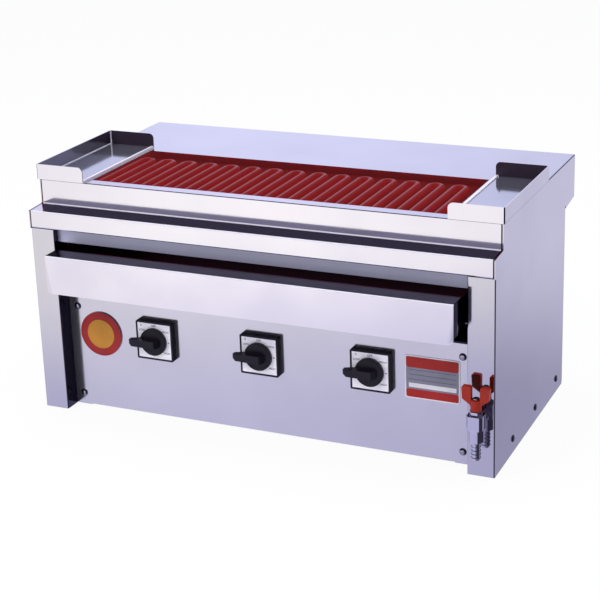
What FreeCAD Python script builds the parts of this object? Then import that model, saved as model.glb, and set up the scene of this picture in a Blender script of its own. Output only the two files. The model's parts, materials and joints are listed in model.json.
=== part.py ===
import FreeCAD, Part
import math
import os
import Sketcher

# Electric yakitori grill: a stainless cabinet with a heater bay on top, a pull-out
# tray under it, three rotary switches and a drain cock on the right leg.
# Sizes are in millimetres. X runs along the front, Y runs back, Z is up.
# Inside this file Y = 0 is the front of the two legs; every body is then moved
# forward so that the origin lies under the middle of the whole object.

doc = FreeCAD.newDocument("YakitoriGrill")
sheet = doc.addObject("Spreadsheet::Sheet", "Sizes")
Vec = FreeCAD.Vector


# A number that remembers the sheet formula it came from.
class Size:
    def __init__(self, value, text):
        self.value = float(value)
        self.text = text

    def __add__(self, other):
        return joined(self, other, "+")

    def __radd__(self, other):
        return joined(other, self, "+")

    def __sub__(self, other):
        return joined(self, other, "-")

    def __rsub__(self, other):
        return joined(other, self, "-")

    def __mul__(self, other):
        return joined(self, other, "*")

    def __rmul__(self, other):
        return joined(other, self, "*")

    def __truediv__(self, other):
        return joined(self, other, "/")

    def __neg__(self):
        return joined(-1, self, "*")


def as_size(number):
    if isinstance(number, Size):
        return number
    return Size(number, "(%.9g)" % number)


def joined(first, second, sign):
    first = as_size(first)
    second = as_size(second)
    value = {
        "+": first.value + second.value,
        "-": first.value - second.value,
        "*": first.value * second.value,
        "/": first.value / second.value if second.value else 0.0,
    }[sign]
    return Size(value, "(%s %s %s)" % (first.text, sign, second.text))


next_row = [2]
sheet.set("A1", "name")
sheet.set("B1", "millimetres")
sheet.set("C1", "what it is")


def size(name, value, note):
    row = next_row[0]
    next_row[0] = row + 1
    sheet.set("A%d" % row, name)
    sheet.set("B%d" % row, "%.9g" % value)
    sheet.set("C%d" % row, note)
    sheet.setAlias("B%d" % row, name)
    return Size(value, "Sizes." + name)


# Overall form
Width = size("WidthAcross", 750, "cabinet, side plate to side plate")
DeckHeight = size("DeckHeight", 370, "top of the deck above the table")
DeckBack = size("DeckBack", 420, "rear edge of the deck behind the leg fronts")
CabinetBack = size("CabinetBack", 366.5, "rear face of the lower cabinet")
DrawerOut = size("DrawerOut", 40, "drawer front stands this far in front of the legs")
Sheet = size("SheetThick", 1.5, "stainless sheet")
Fold = size("FoldRadius", 2, "outer radius of a fold")
Flange = size("FlangeWide", 20, "turned-in edges of the cabinet")

# Cabinet front
LegWidth = size("LegWidth", 41, "leg face")
PanelBack = size("PanelSetback", 27.5, "control panel behind the leg fronts")
PanelFoot = size("PanelFoot", 2, "under edge of the control panel")
PanelDrop = size("PanelDrop", 21.5, "control panel top under the drawer front")
PanelTab = size("PanelTab", 28, "flange the control panel is screwed to")
PanelGap = size("PanelGap", 0.5, "side gap of the control panel")
FloorHigh = size("FloorFlange", 20, "turned-up edges of the base plate")

# Upper casing
FasciaBack = size("FasciaSetback", 34.5, "upper fascia behind the leg fronts")
FasciaHigh = size("FasciaHigh", 39, "fascia from the deck down to the ledge")
LedgeHigh = DeckHeight - FasciaHigh
LedgeFall = size("LedgeFall", 2, "ledge slopes down to its front fold")
LedgeLow = LedgeHigh - LedgeFall
ApronOut = size("ApronOut", 2.5, "apron in front of the legs")
CasingHigh = size("CasingHigh", 70, "upper casing from the deck to its under edge")
SkirtFoot = DeckHeight - CasingHigh
ApronFoot = SkirtFoot + Sheet
ApronReturn = size("ApronReturn", 27.5, "turned-in lower edge of the apron")
HangDrop = size("HangDrop", 4.5, "overhang under the skirt at the cabinet")
HangLow = SkirtFoot - HangDrop
HangHigh = SkirtFoot + Sheet

CornerGap = size("CornerGap", 2, "dark gap between fascia and side plate")
DeckEnd = size("DeckEnd", 84.5, "deck beside the fire opening")
OpenHalf = Width / 2 - DeckEnd
OpenFront = size("OpenFront", 52, "front edge of the fire opening")
OpenBack = size("OpenBack", 238, "rear edge of the fire opening")
LipDeep = size("LipDeep", 10, "turned-down edge of the opening")
FrontLip = size("FrontLip", 10.5, "turned-down front edge of the deck")

# Heater bay
LinerStep = size("LinerStep", 3.5, "liner outside the opening at the sides")
LinerHalf = OpenHalf + LinerStep
LinerAhead = size("LinerAhead", 2, "liner ahead of the front edge of the opening")
LinerFront = OpenFront - LinerAhead
LinerBehind = size("LinerBehind", 4, "liner behind the rear edge of the opening")
LinerBack = OpenBack + LinerBehind
LinerHigh = size("LinerHigh", 85, "liner from the deck down")
LinerFoot = DeckHeight - LinerHigh
LinerFlange = size("LinerFlange", 12, "turned-out top edge of the liner")
TubeDeep = size("TubeDeep", 7.5, "middle of the heater tubes under the deck top")
TubeLevel = DeckHeight - TubeDeep
TubeRadius = size("TubeRadius", 5, "heater tube")
TubeHole = size("TubeHole", 5.35, "hole for a heater tube")
TubeSpare = size("TubeSpare", 11, "opening width that the hairpins leave free")
TubePitch = (OpenHalf * 2 - TubeSpare) / 15
TubeLegs = TubePitch / 2
TubeShift = size("TubeShift", 9, "row of hairpins left of the middle")
TubeFirst = TubePitch * 7 + TubeShift
TubeShort = size("TubeShort", 31, "bends short of the rear edge of the opening")
TubeApex = OpenBack - TubeShort
TubeAhead = size("TubeAhead", 3, "tube ends ahead of the liner")
TubeStart = LinerFront - TubeAhead
BeadLong = size("BeadLong", 7, "insulator")
BeadFront = TubeStart - BeadLong
BeadFlats = size("BeadFlats", 8, "insulator across its flats")
LinkThick = size("LinkThick", 1.2, "terminal link")
BarInset = size("BarInset", 45, "front support bar from the liner front")
BarFront = LinerFront + BarInset
BarRearInset = size("BarRearInset", 57, "rear support bar from the liner rear")
BarRear = LinerBack - BarRearInset
BarThick = size("BarThick", 2, "support bar")
BarHigh = size("BarHigh", 12, "support bar")

# End trays
TrayStep = size("TrayStep", 4.5, "end tray beside the fire opening")
TrayInner = OpenHalf + TrayStep
TrayOver = size("TrayOver", 2.5, "end tray past the side plate")
TrayAhead = size("TrayAhead", 3, "end tray in front of the fascia")
TrayFront = FasciaBack - TrayAhead
TrayBehind = size("TrayBehind", 19.5, "end tray behind the opening")
TrayBack = OpenBack + TrayBehind
TrayHigh = size("TrayHigh", 24, "height of the end trays")
TrayCorner = size("TrayCorner", 8, "rounded ends of the tray walls")
TrayHem = size("TrayHem", 4, "folded edge toward the fire")

# Drawer and its bay
DrawerGap = size("DrawerGap", 6.5, "drawer front to leg, each side")
DrawerHalf = Width / 2 - LegWidth - DrawerGap

HeaderHigh = size("HeaderHigh", 22.5, "header rail")
HeaderFoot = ApronFoot - HeaderHigh
DrawerLow = size("DrawerLow", 7.5, "gap over the drawer front")
DrawerTop = HeaderFoot - DrawerLow
DrawerHigh = size("DrawerHigh", 60.5, "drawer front")
DrawerFoot = DrawerTop - DrawerHigh
PanelTop = DrawerFoot - PanelDrop
DrawerCorner = size("DrawerCorner", 10, "lower corners of the drawer front")
DrawerEdge = size("DrawerEdge", 18, "turned-back edges of the drawer front")
PanInset = size("PanInset", 6.5, "drawer pan inside the ends of its front")
PanHalf = DrawerHalf - PanInset
PanRaise = size("PanRaise", 7.5, "drawer pan above the under edge of its front")
PanFoot = DrawerFoot + PanRaise
PanHigh = size("PanHigh", 43.5, "drawer pan")
PanTop = PanFoot + PanHigh
PanLong = size("PanLong", 300, "drawer pan front to back")
PanSheet = size("PanSheet", 1.2, "drawer pan sheet")
SlideGap = size("SlideGap", 0.3, "drawer pan above its runners")
BayInset = size("BayInset", 3.5, "bay wall inside the leg")
BayHalf = Width / 2 - LegWidth - BayInset
BayFront = size("BayFront", 33, "front of the bay walls")
BayShort = size("BayShort", 13, "bay walls short of the rear plate")
BayBack = CabinetBack - BayShort
RunnerWide = size("RunnerWide", 18.5, "runner under the pan")
RunnerIn = BayHalf - RunnerWide
RunnerHigh = size("RunnerHigh", 18.2, "runner upright")
RunnerFoot = PanFoot - SlideGap - RunnerHigh
RunnerShort = size("RunnerShort", 13.5, "runner short of the bay's rear")
RunnerBack = BayBack - RunnerShort
HeaderBack = size("HeaderSetback", 10, "header rail behind the leg fronts")

TroughHigh = size("TroughHigh", 20, "walls of the drain pan")

# Switches
SwitchMiddle = size("SwitchMiddle", 1.5, "middle switch from the middle plane")
SwitchEnds = size("SwitchEnds", 155, "outer switch to the leg")
SwitchPitch = Width / 2 - LegWidth - SwitchEnds
SwitchDrop = size("SwitchDrop", 59, "switch axis under the panel top")
SwitchLevel = PanelTop - SwitchDrop
BezelWide = size("BezelWide", 62.5, "escutcheon across")
BezelThick = size("BezelThick", 11, "escutcheon")
DialWide = size("DialWide", 56.6, "dial plate across")
DialThick = size("DialThick", 1.2, "dial plate")
DialSink = size("DialSink", 0.3, "dial plate under the escutcheon rim")
DialFit = size("DialFit", 0.2, "gap around the dial plate")
KnobRadius = size("KnobRadius", 22, "round part of the knob")
KnobThick = size("KnobThick", 6, "round part of the knob")
KnobGap = size("KnobGap", 0.5, "knob in front of the escutcheon")
LeverLong = size("LeverLong", 38, "lever from the knob axis")
LeverTail = size("LeverTail", 12, "lever behind the knob axis")
LeverWide = size("LeverWide", 12.5, "lever")
LeverHigh = size("LeverHigh", 12, "lever in front of the knob disc")
ShaftRadius = size("ShaftRadius", 3, "switch shaft")
ShaftFit = size("ShaftFit", 0.05, "running clearance of the shafts")
BlockWide = size("BlockWide", 48, "switch body across")
BlockDeep = size("BlockDeep", 55, "switch body front to back")

# Badge places, left bare
BadgeInset = size("BadgeInset", 55.7, "round badge from the leg")
BadgeX = Width / 2 - LegWidth - BadgeInset
BadgeDrop = size("BadgeDrop", 4.3, "round badge under the switch axes")
BadgeLevel = SwitchLevel - BadgeDrop
BadgeRadius = size("BadgeRadius", 36.5, "round badge")
BadgeThick = size("BadgeThick", 2.5, "round badge")
PlateInset = size("PlateInset", 61.2, "rating plate from the leg")
PlateX = Width / 2 - LegWidth - PlateInset
PlateDrop = size("PlateDrop", 3.3, "rating plate under the switch axes")
PlateLevel = SwitchLevel - PlateDrop
PlateWide = size("PlateWide", 84, "rating plate across")
PlateHigh = size("PlateHigh", 67, "rating plate upright")
PlateThick = size("PlateThick", 0.8, "rating plate")
PlateCorner = size("PlateCorner", 4, "rating plate")

# Drain cock
CockX = Width / 2 - LegWidth / 2
CockOut = size("CockOut", 22.5, "cock axis in front of the leg")
CockFoot = size("CockFoot", 84.5, "under side of the cock body")
CockTop = size("CockTop", 106, "top of the cock body")
CockWide = size("CockWide", 24, "cock body across")
CockCorner = size("CockCorner", 4, "bevel of the cock body")
PipeLevel = size("PipeLevel", 95, "drain pipe above the table")
PipeRadius = size("PipeRadius", 6, "drain pipe outside")
PipeBore = size("PipeBore", 4.5, "drain pipe inside")
PipeFit = size("PipeFit", 0.1, "gap around the drain pipe")
PipeBend = size("PipeBend", 16, "drain pipe bends")
DrainInset = size("DrainInset", 34, "drain hole from the leg")
DrainX = Width / 2 - LegWidth - DrainInset
DrainY = size("DrainY", 90, "drain hole behind the leg fronts")
PlugRadius = size("PlugRadius", 7, "turning plug in the cock")
PlugFit = size("PlugFit", 0.05, "running clearance of the plug")
StemRadius = size("StemRadius", 3.5, "stem of the cock")
HubRadius = size("HubRadius", 8, "hub of the handle")
HubFoot = size("HubFoot", 112, "under side of the handle")
HubTop = size("HubTop", 128, "top of the handle hub")
HandleTop = size("HandleTop", 148, "top of the handle wings")
HandleHalf = size("HandleHalf", 20.5, "half span of the handle wings")
HandleThick = size("HandleThick", 8, "handle wings")
WingGap = size("WingGap", 6.5, "half the gap between the handle wings")
NutFlats = size("NutFlats", 20, "hexagons on the cock across the flats")
OutletFoot = size("OutletFoot", 64.5, "under side of the outlet nut")
BarbFoot = size("BarbFoot", 36.5, "lower end of the hose barb")
BarbRadius = size("BarbRadius", 7.2, "hose barb over its ridges")
BarbRoot = size("BarbRoot", 6, "hose barb between its ridges")
BarbBore = size("BarbBore", 4, "hose barb inside")

# Fasteners and rear fittings
ScrewRadius = size("ScrewRadius", 2.5, "M5 screw shank")
ScrewFit = size("ScrewFit", 0.05, "gap around a screw shank")
ScrewLong = size("ScrewLong", 9, "screw shank")
HeadRadius = size("HeadRadius", 5.9, "dome head")
HeadHigh = size("HeadHigh", 2.6, "dome head")
TabScrew = size("TabScrew", 15.3, "panel screws from the leg")
PanelScrewX = Width / 2 - LegWidth - TabScrew
PanelScrewLow = size("PanelScrewLow", 20, "lower panel screws")
TabScrewDrop = size("TabScrewDrop", 21.5, "upper panel screws under the panel top")
PanelScrewHigh = PanelTop - TabScrewDrop
SideScrewLevel = size("SideScrewLevel", 22.5, "side screws above the table")
SideScrewFirst = size("SideScrewFirst", 90.4, "first side screw behind the legs")
SideScrewLast = size("SideScrewLast", 38.8, "last side screw from the rear")
SideScrewPitch = (CabinetBack - SideScrewLast - SideScrewFirst) / 2
RearScrewInset = size("RearScrewInset", 12, "rear screws from the side plates")
RearScrewX = Width / 2 - RearScrewInset
RearScrewLow = size("RearScrewLow", 40, "lower rear screws")
RearScrewDrop = size("RearScrewDrop", 40, "upper rear screws under the casing")
RearScrewHigh = SkirtFoot - RearScrewDrop
GlandInset = size("GlandInset", 75, "cable gland from the side plate")
GlandX = Width / 2 - GlandInset
GlandLevel = size("GlandLevel", 60, "cable gland above the table")
GlandBore = size("GlandBore", 7, "cable gland inside")
GlandThread = size("GlandThread", 10, "threaded part of the cable gland")
GlandHead = size("GlandHead", 13, "flange of the cable gland")

# Terminal block inside
TerminalLong = size("TerminalLong", 70, "terminal block across")
TerminalWide = size("TerminalWide", 32, "terminal block front to back")
TerminalHigh = size("TerminalHigh", 26, "terminal block")

# Derived places, all from the values above
half = Width / 2
leg_in = half - LegWidth
tab_in = leg_in - PanelTab
panel_rear = PanelBack + Sheet
rear_in = CabinetBack - Sheet
under_deck = DeckHeight - Sheet
zero = as_size(0)
doc.recompute()

plane_roles = {"XY": "XY_Plane", "XZ": "XZ_Plane", "YZ": "YZ_Plane"}
nodes = {}
cuts = []


def bind(item, name, value):
    item.setExpression(name, as_size(value).text)


def new_body(label):
    body = doc.addObject("PartDesign::Body", label)
    body.Label = label
    body.AllowCompound = True
    bind(body, "Placement.Base.y", -(DeckBack - DrawerOut) / 2)
    nodes[label] = body
    return body


def origin_plane(body, key):
    for item in body.Origin.OriginFeatures:
        if item.Role == plane_roles[key]:
            return item
    raise ValueError("no plane " + key)


# A sketch on one of the body's own planes. Shapes are lists of corners, or
# ("circle", across, up, radius). Every corner is tied to the sheet.
def draw(body, name, key, level, shapes, across=None, up=None):
    sketch = body.newObject("Sketcher::SketchObject", name)
    sketch.AttachmentSupport = [(origin_plane(body, key), "")]
    sketch.MapMode = "FlatFace"
    bind(sketch, "AttachmentOffset.Base.z", level)
    if across is not None:
        bind(sketch, "AttachmentOffset.Base.x", across)
    if up is not None:
        bind(sketch, "AttachmentOffset.Base.y", up)
    lines = []
    rules = []
    values = []
    for shape in shapes:
        first = len(lines)
        if shape[0] == "circle":
            middle = (as_size(shape[1]), as_size(shape[2]))
            radius = as_size(shape[3])
            where = Vec(middle[0].value, middle[1].value, 0)
            lines.append(Part.Circle(where, Vec(0, 0, 1), radius.value))
            rules.append(Sketcher.Constraint("Radius", first, radius.value))
            values.append(radius)
            corners = [middle]
            spot = 3
        else:
            corners = [(as_size(a), as_size(b)) for a, b in shape]
            count = len(corners)
            spot = 1
            for index in range(count):
                a = corners[index]
                b = corners[(index + 1) % count]
                start = Vec(a[0].value, a[1].value, 0)
                end = Vec(b[0].value, b[1].value, 0)
                lines.append(Part.LineSegment(start, end))
            for index in range(count):
                following = first + (index + 1) % count
                rules.append(Sketcher.Constraint("Coincident", first + index, 2, following, 1))
                values.append(None)
        for index, corner in enumerate(corners):
            for kind, value, axis in (("DistanceX", corner[0], -2), ("DistanceY", corner[1], -1)):
                if abs(value.value) < 1e-9:
                    rules.append(Sketcher.Constraint("PointOnObject", first + index, spot, axis))
                    values.append(None)
                else:
                    rules.append(Sketcher.Constraint(kind, -1, 1, first + index, spot, value.value))
                    values.append(value)
    sketch.addGeometry(lines, False)
    sketch.addConstraint(rules)
    for index, value in enumerate(values):
        if value is not None:
            sketch.setExpression("Constraints[%d]" % index, value.text)
    return sketch


def pad(body, name, key, start, length, shapes):
    start = as_size(start)
    length = as_size(length)
    level = -(start + length) if key == "XZ" else start
    sketch = draw(body, name + "_outline", key, level, shapes)
    item = body.newObject("PartDesign::Pad", name)
    item.Profile = sketch
    bind(item, "Length", length)
    return item


def cut(body, name, key, start, length, shapes):
    start = as_size(start)
    length = as_size(length)
    level = -start if key == "XZ" else start + length
    before = body.Tip
    sketch = draw(body, name + "_outline", key, level, shapes)
    item = body.newObject("PartDesign::Pocket", name)
    item.Profile = sketch
    bind(item, "Length", length)
    cuts.append((item, before))
    return item


# A profile of (along the axis, radius) points turned about an axis through "at".
def turned(body, name, axis, at, profile, angle=360):
    x, y, z = [as_size(value) for value in at]
    if axis == "X":
        sketch = draw(body, name + "_outline", "XY", z, [profile], x, y)
    elif axis == "Y":
        sketch = draw(body, name + "_outline", "YZ", x, [profile], y, z)
    else:
        flipped = [(radius, along) for along, radius in profile]
        sketch = draw(body, name + "_outline", "XZ", -y, [flipped], x, z)
    item = body.newObject("PartDesign::Revolution", name)
    item.Profile = sketch
    item.ReferenceAxis = (sketch, ["V_Axis" if axis == "Z" else "H_Axis"])
    item.Angle = angle
    return item


def box(x0, x1, y0, y1):
    return [(x0, y0), (x1, y0), (x1, y1), (x0, y1)]


def ring_points(count, radius, across, up, first=0.0):
    points = []
    for index in range(count):
        turn = math.radians(first + 360.0 * index / count)
        points.append((across + radius * math.cos(turn), up + radius * math.sin(turn)))
    return points


# Rounds or bevels the straight edges that run along "axis" through the given places.
def soften(body, name, axis, places, amount, bevel=False):
    doc.recompute()
    tip = body.Tip
    way = {"X": 0, "Y": 1, "Z": 2}[axis]
    others = [index for index in range(3) if index != way]
    wanted = [[as_size(value).value for value in place] for place in places]
    names = []
    for number, edge in enumerate(tip.Shape.Edges):
        if len(edge.Vertexes) != 2:
            continue
        a = edge.Vertexes[0].Point
        b = edge.Vertexes[1].Point
        if abs(a[way] - b[way]) < 0.2:
            continue
        if max(abs(a[index] - b[index]) for index in others) > 1e-4:
            continue
        for place in wanted:
            if all(abs(a[index] - place[k]) < 0.01 for k, index in enumerate(others)):
                names.append("Edge%d" % (number + 1))
                break
    if not names:
        raise ValueError("no edges for " + name)
    kind = "PartDesign::Chamfer" if bevel else "PartDesign::Fillet"
    item = body.newObject(kind, name)
    item.Base = (tip, names)
    bind(item, "Size" if bevel else "Radius", amount)
    return item


def repeated(body, name, features, sketch, spacing, count):
    item = body.newObject("PartDesign::LinearPattern", name)
    item.Originals = features
    item.Direction = (sketch, ["H_Axis"])
    item.Mode = "Spacing"
    item.Occurrences = count
    bind(item, "Offset", spacing)
    body.Tip = item
    return item


# Side plates: plate, leg face, return, screw tab and rear edge folded from one sheet
def side_panel(label, side):
    body = new_body(label)
    exposed = [(half - Flange, rear_in), (half, rear_in), (half, zero), (leg_in, zero)]
    exposed += [(leg_in, panel_rear), (tab_in, panel_rear)]
    inner = [(tab_in, panel_rear + Sheet), (leg_in + Sheet, panel_rear + Sheet)]
    inner += [(leg_in + Sheet, Sheet), (half - Sheet, Sheet)]
    inner += [(half - Sheet, rear_in - Sheet), (half - Flange, rear_in - Sheet)]
    outline = [(x * side, y) for x, y in exposed + inner]
    pad(body, label + "_sheet", "XY", zero, SkirtFoot, [outline])
    top = box((half - Sheet - Flange) * side, (half - Sheet) * side, panel_rear + 4, rear_in - Sheet)
    pad(body, label + "_top_edge", "XY", SkirtFoot - Sheet, Sheet, [top])
    room = box((tab_in - 1) * side, leg_in * side, panel_rear - 1, panel_rear + Sheet + 1)
    cut(body, label + "_bay_room", "XY", PanelTop, SkirtFoot - PanelTop, [room])
    hole = ScrewRadius + ScrewFit
    lows = [("circle", PanelScrewX * side, level, hole) for level in (PanelScrewLow, PanelScrewHigh)]
    cut(body, label + "_tab_holes", "XZ", panel_rear - 1, Sheet + 2, lows)
    rears = [("circle", RearScrewX * side, level, hole) for level in (RearScrewLow, RearScrewHigh)]
    cut(body, label + "_rear_holes", "XZ", rear_in - Sheet - 1, Sheet + 2, rears)
    sides = []
    for index in range(3):
        sides.append(("circle", SideScrewFirst + SideScrewPitch * index, SideScrewLevel, hole))
    start = half - Sheet - 1 if side > 0 else -(half + 1)
    cut(body, label + "_side_holes", "YZ", start, Sheet + 2, sides)
    if side > 0:
        pipe = [("circle", CockX, PipeLevel, PipeRadius + PipeFit)]
        cut(body, label + "_pipe_hole", "XZ", -1, Sheet + 2, pipe)
    folds = [(half * side, rear_in), (half * side, zero), (leg_in * side, zero)]
    soften(body, label + "_folds", "Z", folds, Fold)


side_panel("side_panel_left", -1)
side_panel("side_panel_right", 1)

# Control panel with its turned-back top edge
body = new_body("control_panel")
face = box(-(leg_in - PanelGap), leg_in - PanelGap, PanelFoot, PanelTop)
pad(body, "panel_face", "XZ", PanelBack, Sheet, [face])
edge = box(-(tab_in - 1), tab_in - 1, PanelBack + Sheet / 2, panel_rear + 12)
pad(body, "panel_top_edge", "XY", PanelTop - Sheet, Sheet, [edge])
holes = []
for index in (-1, 0, 1):
    holes.append(("circle", SwitchMiddle + SwitchPitch * index, SwitchLevel, ShaftRadius + 2))
for side in (-1, 1):
    for level in (PanelScrewLow, PanelScrewHigh):
        holes.append(("circle", PanelScrewX * side, level, ScrewRadius + ScrewFit))
cut(body, "panel_holes", "XZ", PanelBack - 1, Sheet + 2, holes)
soften(body, "panel_fold", "X", [(PanelBack, PanelTop)], Fold)

# Base plate with turned-up edges
body = new_body("base_plate")
wide = half - Sheet
front = panel_rear + Sheet + 1
narrow = tab_in - 1
rear_half = half - Flange - 1
floor = [(-wide, front), (-narrow, front), (-narrow, panel_rear), (narrow, panel_rear)]
floor += [(narrow, front), (wide, front), (wide, rear_in - Sheet), (rear_half, rear_in - Sheet)]
floor += [(rear_half, rear_in), (-rear_half, rear_in), (-rear_half, rear_in - Sheet)]
floor += [(-wide, rear_in - Sheet)]
pad(body, "base_floor", "XY", PanelFoot, Sheet, [floor])
walls = [box(-narrow, narrow, panel_rear, panel_rear + Sheet)]
walls += [box(-rear_half, rear_half, rear_in - Sheet, rear_in)]
pad(body, "base_edges", "XY", PanelFoot + Sheet / 2, FloorHigh, walls)
sides = [box(-wide, -wide + Sheet, front + 30, rear_in - 15)]
sides += [box(wide - Sheet, wide, front + 30, rear_in - 15)]
pad(body, "base_side_edges", "XY", PanelFoot + Sheet / 2, FloorHigh + 12, sides)
for side, name in ((-1, "left"), (1, "right")):
    spots = []
    for index in range(3):
        place = SideScrewFirst + SideScrewPitch * index
        spots.append(("circle", place, SideScrewLevel, ScrewRadius + ScrewFit))
    start = wide - Sheet - 1 if side > 0 else -(wide + 1)
    cut(body, "base_holes_" + name, "YZ", start, Sheet + 2, spots)

# Rear plate of the lower cabinet
body = new_body("rear_panel")
face = box(-(half - PanelGap), half - PanelGap, PanelFoot, SkirtFoot - 2)
pad(body, "rear_face", "XZ", rear_in, Sheet, [face])
holes = [("circle", -GlandX, GlandLevel, GlandThread + ScrewFit)]
for side in (-1, 1):
    for level in (RearScrewLow, RearScrewHigh):
        holes.append(("circle", RearScrewX * side, level, ScrewRadius + ScrewFit))
cut(body, "rear_holes", "XZ", rear_in - 1, Sheet + 2, holes)

# Drain pan: the floor of the drawer bay
body = new_body("drain_pan")
wide = leg_in - PanelGap
pan_back = BayBack + Sheet
pad(body, "trough_floor", "XY", PanelTop, Sheet, [box(-wide, wide, PanelBack, pan_back)])
ring = [(-wide, panel_rear + 3), (-wide + Sheet, panel_rear + 3), (-wide + Sheet, BayBack)]
ring += [(wide - Sheet, BayBack), (wide - Sheet, panel_rear + 3), (wide, panel_rear + 3)]
ring += [(wide, pan_back), (-wide, pan_back)]
pad(body, "trough_walls", "XY", PanelTop + Sheet / 2, TroughHigh, [ring])
drain = [("circle", DrainX, DrainY, PipeRadius + PipeFit)]
cut(body, "trough_drain", "XY", PanelTop - 1, Sheet + 2, drain)


# Bay walls and runners, each an angle of folded sheet
def bay_wall(label, side):
    body = new_body(label)
    floor = PanelTop + Sheet
    top = SkirtFoot - Sheet
    outline = [(BayHalf, floor), (BayHalf + Sheet, floor), (BayHalf + Sheet, top - Sheet)]
    outline += [(half - 3, top - Sheet), (half - 3, top), (BayHalf, top)]
    outline = [(x * side, z) for x, z in outline]
    pad(body, label + "_sheet", "XZ", BayFront, BayBack - BayFront, [outline])


def runner(label, side):
    body = new_body(label)
    top = PanFoot - SlideGap
    outline = [(BayHalf, RunnerFoot), (BayHalf, top), (RunnerIn, top), (RunnerIn, top - Sheet)]
    outline += [(BayHalf - Sheet, top - Sheet), (BayHalf - Sheet, RunnerFoot)]
    outline = [(x * side, z) for x, z in outline]
    pad(body, label + "_sheet", "XZ", BayFront, RunnerBack - BayFront, [outline])


bay_wall("bay_wall_left", -1)
bay_wall("bay_wall_right", 1)
runner("drawer_runner_left", -1)
runner("drawer_runner_right", 1)

# Header rail over the drawer
body = new_body("header_rail")
outline = [(HeaderBack, HeaderFoot), (HeaderBack, ApronFoot), (HeaderBack + 20, ApronFoot)]
outline += [(HeaderBack + 20, ApronFoot - Sheet), (HeaderBack + Sheet, ApronFoot - Sheet)]
outline += [(HeaderBack + Sheet, HeaderFoot)]
pad(body, "header_sheet", "YZ", -leg_in, leg_in * 2, [outline])
soften(body, "header_fold", "X", [(HeaderBack, ApronFoot)], Fold)

# Top cover: deck, side skirts and rear overhang with the fire opening
body = new_body("top_cover")
outline = [(FasciaBack, DeckHeight), (FasciaBack, LedgeHigh), (-ApronOut, LedgeLow)]
outline += [(-ApronOut, SkirtFoot), (CabinetBack, SkirtFoot), (CabinetBack, HangLow)]
outline += [(DeckBack, HangHigh), (DeckBack, DeckHeight)]
pad(body, "cover_block", "YZ", -half, Width, [outline])
floor = SkirtFoot + Sheet
room = [(-ApronOut - 20, floor), (CabinetBack, floor), (CabinetBack, HangLow + Sheet)]
room += [(DeckBack - Sheet, HangHigh + Sheet - 0.17), (DeckBack - Sheet, under_deck)]
room += [(-ApronOut - 20, under_deck)]
cut(body, "cover_room", "YZ", -(half - Sheet), Width - Sheet * 2, [room])
inner = half - Sheet - Flange
between = [box(-inner, inner, -ApronOut - 20, CabinetBack)]
cut(body, "cover_floor_room", "XY", SkirtFoot - 1, Sheet + 2, between)
ahead = [box(-(half - Sheet), half - Sheet, -ApronOut - 20, ApronReturn)]
cut(body, "cover_front_room", "XY", SkirtFoot - 1, Sheet + 2, ahead)
inset = half - Sheet - CornerGap
lip = box(-inset, inset, FasciaBack + Sheet, FasciaBack + Sheet * 2)
pad(body, "cover_front_lip", "XY", under_deck - FrontLip, FrontLip + Sheet / 2, [lip])
opening = box(-OpenHalf, OpenHalf, OpenFront, OpenBack)
cut(body, "fire_opening", "XY", under_deck - 1, Sheet + 2, [opening])
out = OpenHalf + Sheet
lips = [(-out, OpenFront), (-OpenHalf, OpenFront), (-OpenHalf, OpenBack), (OpenHalf, OpenBack)]
lips += [(OpenHalf, OpenFront), (out, OpenFront), (out, OpenBack + Sheet), (-out, OpenBack + Sheet)]
pad(body, "opening_lips", "XY", under_deck - LipDeep, LipDeep + Sheet / 2, [lips])
soften(body, "cover_rear_fold", "X", [(DeckBack, DeckHeight)], Fold)
soften(body, "cover_side_folds", "Y", [(-half, DeckHeight), (half, DeckHeight)], Fold)

# Front fascia, ledge and apron folded from one sheet
body = new_body("front_fascia")
outline = [(FasciaBack, under_deck), (FasciaBack, LedgeHigh), (-ApronOut, LedgeLow)]
outline += [(-ApronOut, ApronFoot), (ApronReturn - ApronOut, ApronFoot)]
outline += [(ApronReturn - ApronOut, ApronFoot + Sheet), (-ApronOut + Sheet, ApronFoot + Sheet)]
outline += [(-ApronOut + Sheet, LedgeLow - Sheet), (FasciaBack + Sheet, LedgeHigh - Sheet)]
outline += [(FasciaBack + Sheet, under_deck)]
pad(body, "fascia_sheet", "YZ", -inset, inset * 2, [outline])
folds = [(-ApronOut, LedgeLow), (-ApronOut, ApronFoot)]
soften(body, "fascia_folds", "X", folds, Fold)

# Liner of the heater bay
body = new_body("firebox_liner")
outer = box(-(LinerHalf + Sheet), LinerHalf + Sheet, LinerFront - Sheet, LinerBack + Sheet)
room = box(-LinerHalf, LinerHalf, LinerFront, LinerBack)
pad(body, "liner_walls", "XY", LinerFoot, under_deck - LinerFoot, [outer, room])
side_in = LinerHalf + Sheet / 2
side_out = LinerHalf + Sheet + LinerFlange
rear_edge = LinerBack + Sheet + LinerFlange
near = LinerFront
rim = [(-side_out, near), (-side_in, near), (-side_in, LinerBack + Sheet / 2)]
rim += [(side_in, LinerBack + Sheet / 2), (side_in, near), (side_out, near)]
rim += [(side_out, rear_edge), (-side_out, rear_edge)]
pad(body, "liner_rim", "XY", under_deck - Sheet, Sheet, [rim])
pair = [("circle", -TubeFirst - TubeLegs / 2, TubeLevel, TubeHole)]
pair += [("circle", -TubeFirst + TubeLegs / 2, TubeLevel, TubeHole)]
first = cut(body, "liner_tube_holes", "XZ", LinerFront - Sheet - 1, Sheet + 2, pair)
doc.recompute()
repeated(body, "liner_hole_row", [first], first.Profile[0], TubePitch, 15)

# Bars under the heater tubes
for label, place in (("support_bar_front", BarFront), ("support_bar_rear", BarRear)):
    body = new_body(label)
    flat = box(-LinerHalf, LinerHalf, place - BarThick / 2, place + BarThick / 2)
    pad(body, label + "_flat", "XY", TubeLevel - TubeRadius - BarHigh, BarHigh, [flat])

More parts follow.
